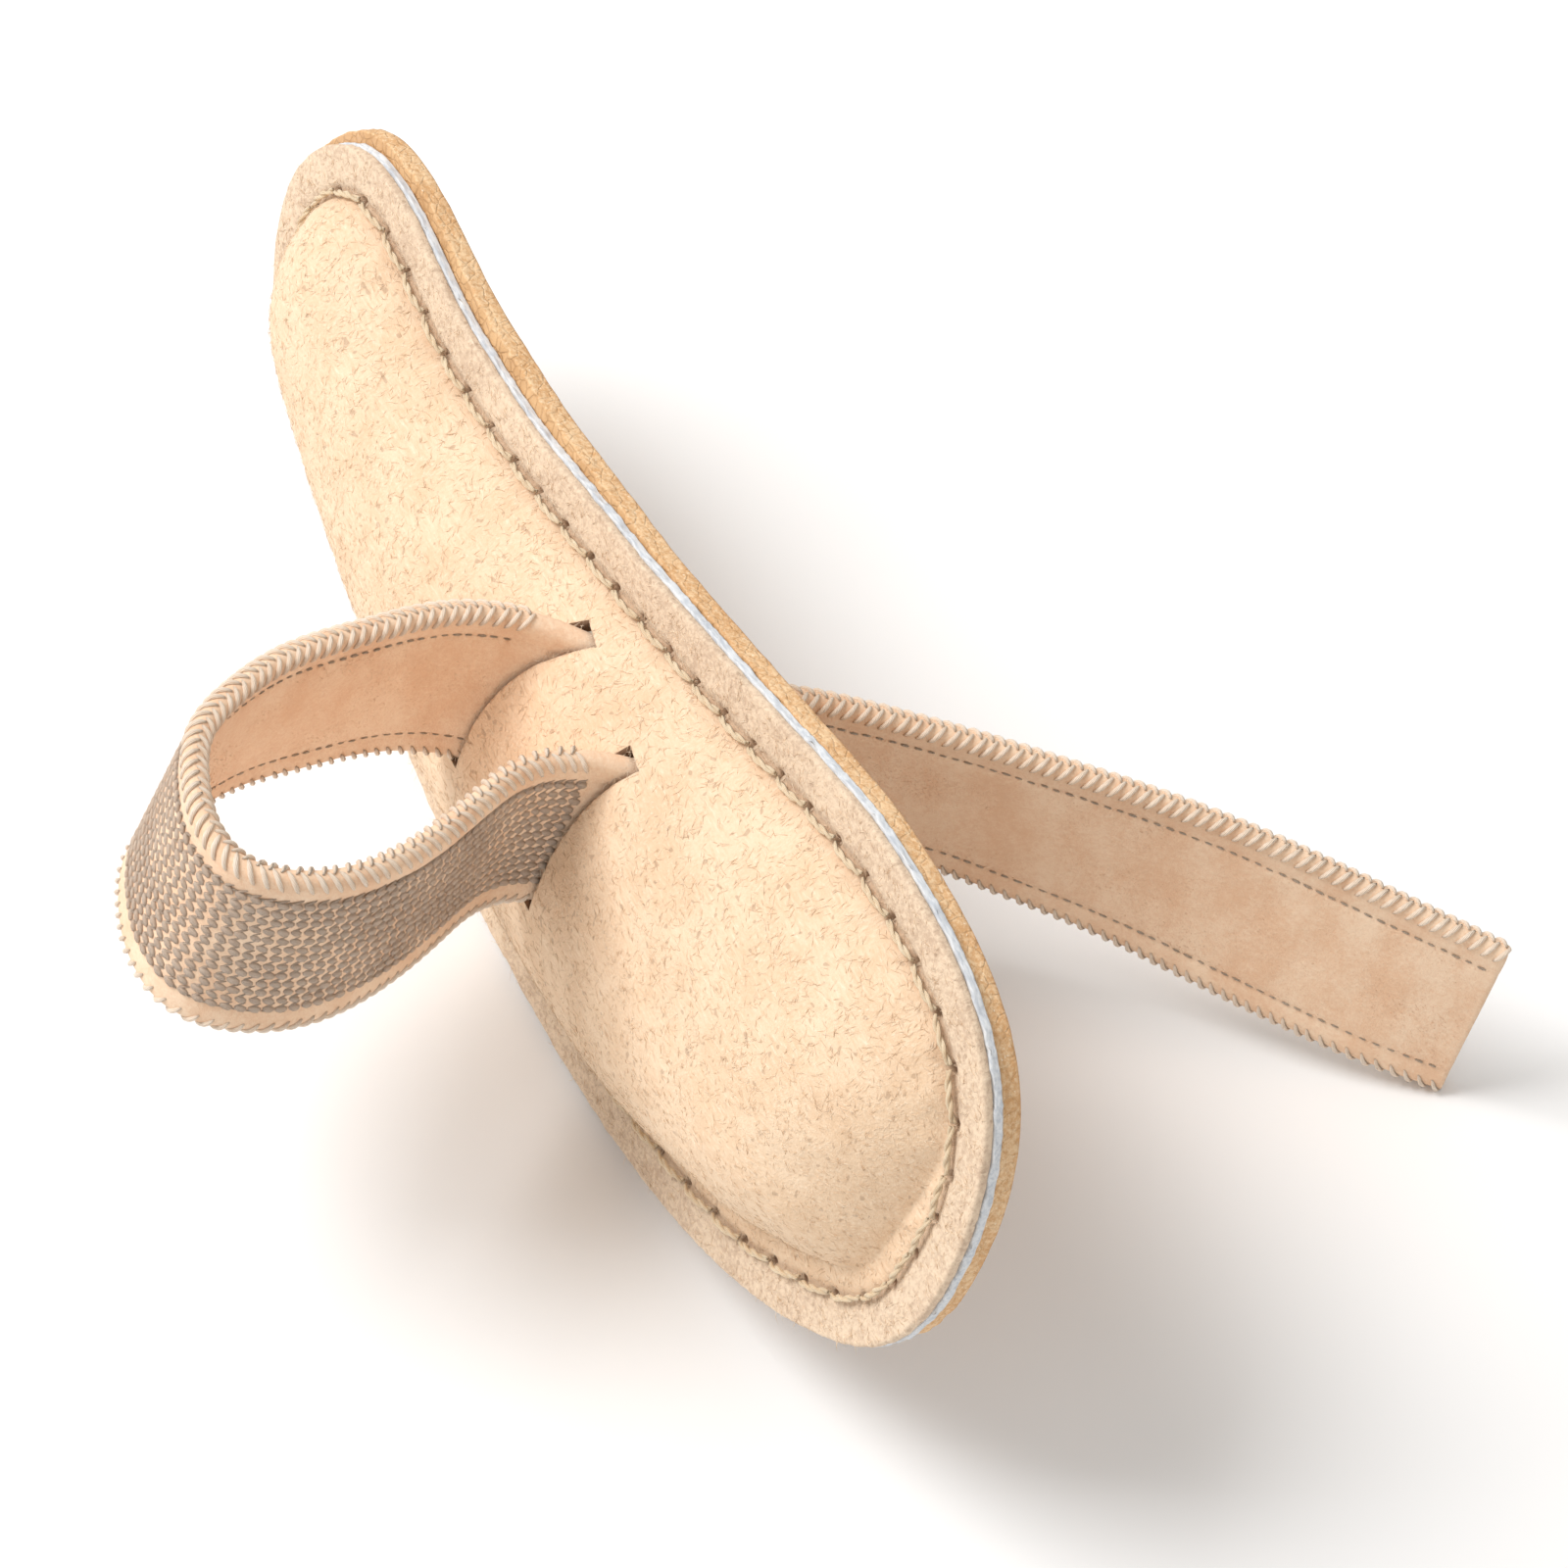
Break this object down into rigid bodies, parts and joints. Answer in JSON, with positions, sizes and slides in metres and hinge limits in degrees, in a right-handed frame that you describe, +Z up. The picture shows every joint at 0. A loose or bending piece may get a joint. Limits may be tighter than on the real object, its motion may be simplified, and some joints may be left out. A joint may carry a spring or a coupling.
{
  "type": "hammer toe cushion",
  "caption": "Kidney-shaped domed suede pad with a flat stitched rim, an elastic toe loop on the domed side and a free strap tail at the back.",
  "frame": {"origin": "on the surface that the cushion stands on, under the middle of its bounding box", "axes": "+X along the pad to its wide end, +Z up, -Y out of the domed suede face towards the toe loop; the tail runs back along +Y"},
  "size_m": [0.0882, 0.078, 0.0363],
  "materials": {
    "suede": "matte",
    "padding": "matte",
    "white_layer": "matte",
    "tan_leather": "matte",
    "elastic": "matte"
  },
  "bodies": {
    "root": {"suede_cover": "suede", "soft_core": "padding", "edge_interlayer": "white_layer", "leather_base": "tan_leather", "elastic_strap": "elastic"}
  },
  "joints": []
}
